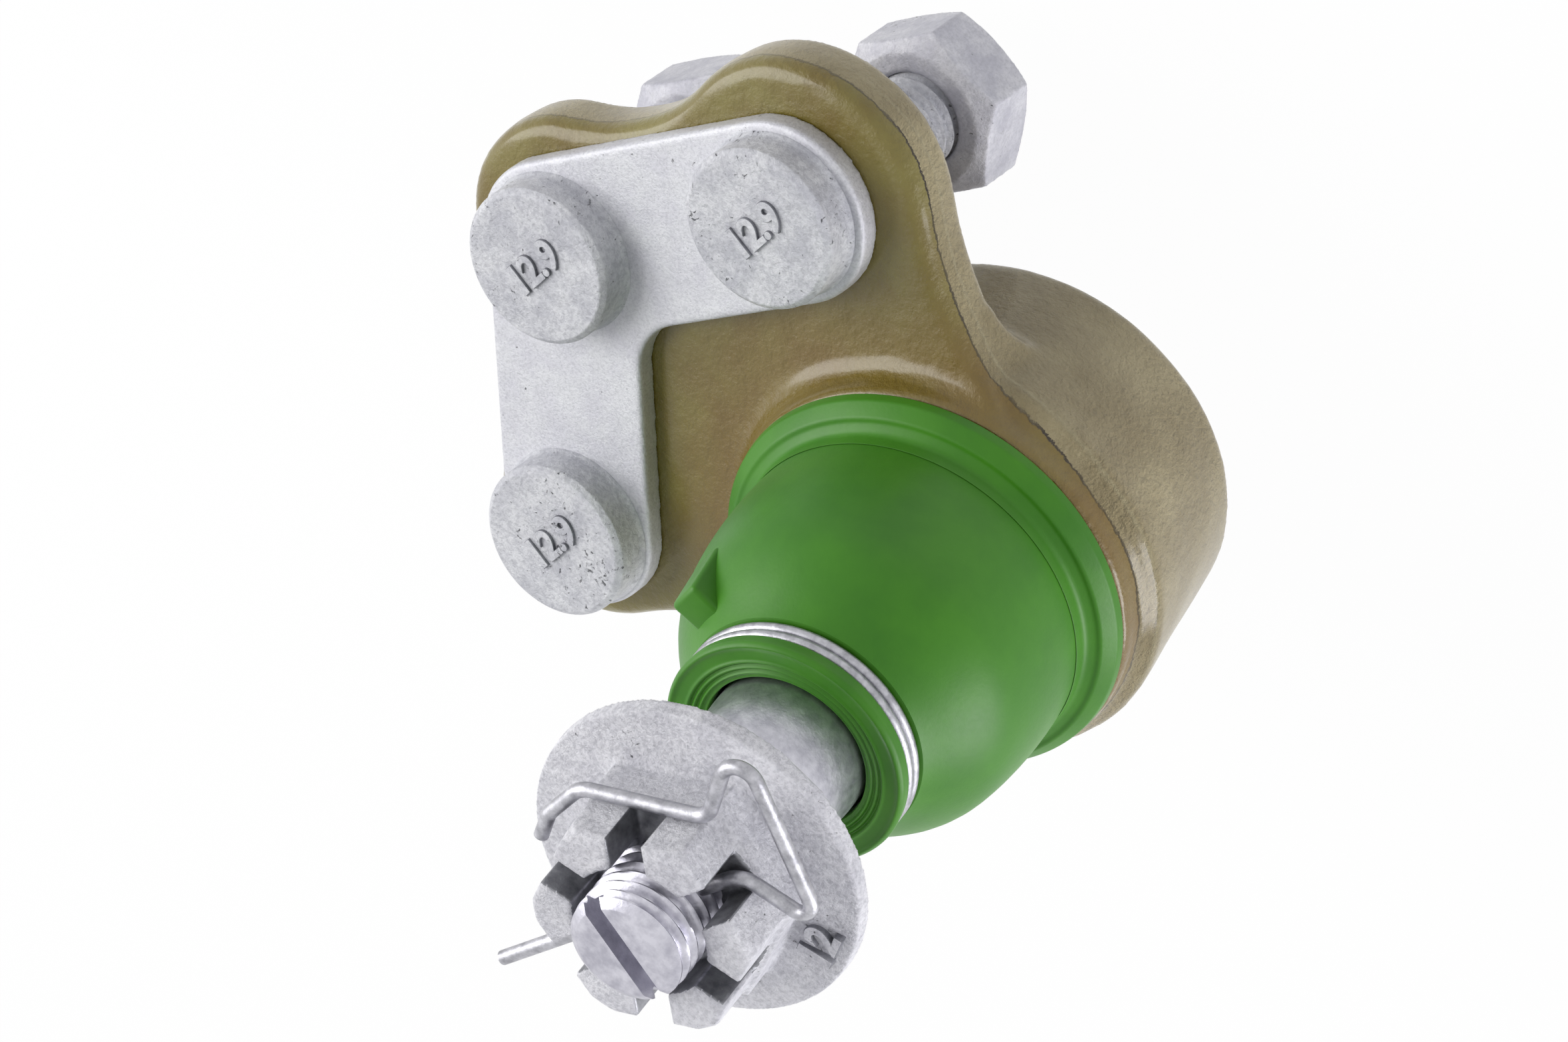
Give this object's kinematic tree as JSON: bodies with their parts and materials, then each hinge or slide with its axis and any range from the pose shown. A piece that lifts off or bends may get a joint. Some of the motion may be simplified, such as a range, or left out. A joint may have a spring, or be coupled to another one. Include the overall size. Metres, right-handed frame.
{
  "type": "suspension ball joint",
  "caption": "Suspension ball joint: bolt-on flanged housing, tapered ball stud with castellated lock nut and spring pin, and a rubber dust boot.",
  "frame": {"origin": "centre of the ball", "axes": "+Z along the stud towards its nut, +X from the ball towards the bolted side of the flange, +Y completes a right-handed frame"},
  "size_m": [0.0851, 0.078, 0.1041],
  "materials": {
    "paint": "gloss",
    "zinc": "satin",
    "stud_steel": "satin",
    "spring_steel": "satin",
    "bare_steel": "satin",
    "boot_rubber": "matte",
    "seat_plastic": "matte"
  },
  "bodies": {
    "socket": {"housing": "paint", "bearing_seat": "seat_plastic", "preload_spring": "spring_steel", "end_cap": "bare_steel", "boot_insert": "bare_steel", "retainer_plate": "zinc", "bolt_corner": "zinc", "bolt_near": "zinc", "bolt_far": "zinc", "nut_corner": "zinc", "nut_near": "zinc", "nut_far": "zinc"},
    "boot_middle": {"dust_boot": "boot_rubber"},
    "boot_end": {"boot_ring": "spring_steel"},
    "stud": {"ball_stud": "stud_steel", "castle_nut": "zinc", "lock_pin": "spring_steel"}
  },
  "joints": [
    {"name": "swing_x", "type": "hinge", "parent": "socket", "child": "boot_middle", "pos_m": [0, 0, 0], "axis": [1, 0, 0], "range_deg": [-20, 20], "deforming": ["dust_boot"]},
    {"name": "swing_y", "type": "hinge", "parent": "boot_middle", "child": "boot_end", "pos_m": [0, 0, 0], "axis": [0, 1, 0], "range_deg": [-20, 20]},
    {"name": "stud_spin", "type": "hinge", "parent": "boot_end", "child": "stud", "pos_m": [0, 0, 0], "axis": [0, 0, 1], "continuous": true}
  ]
}
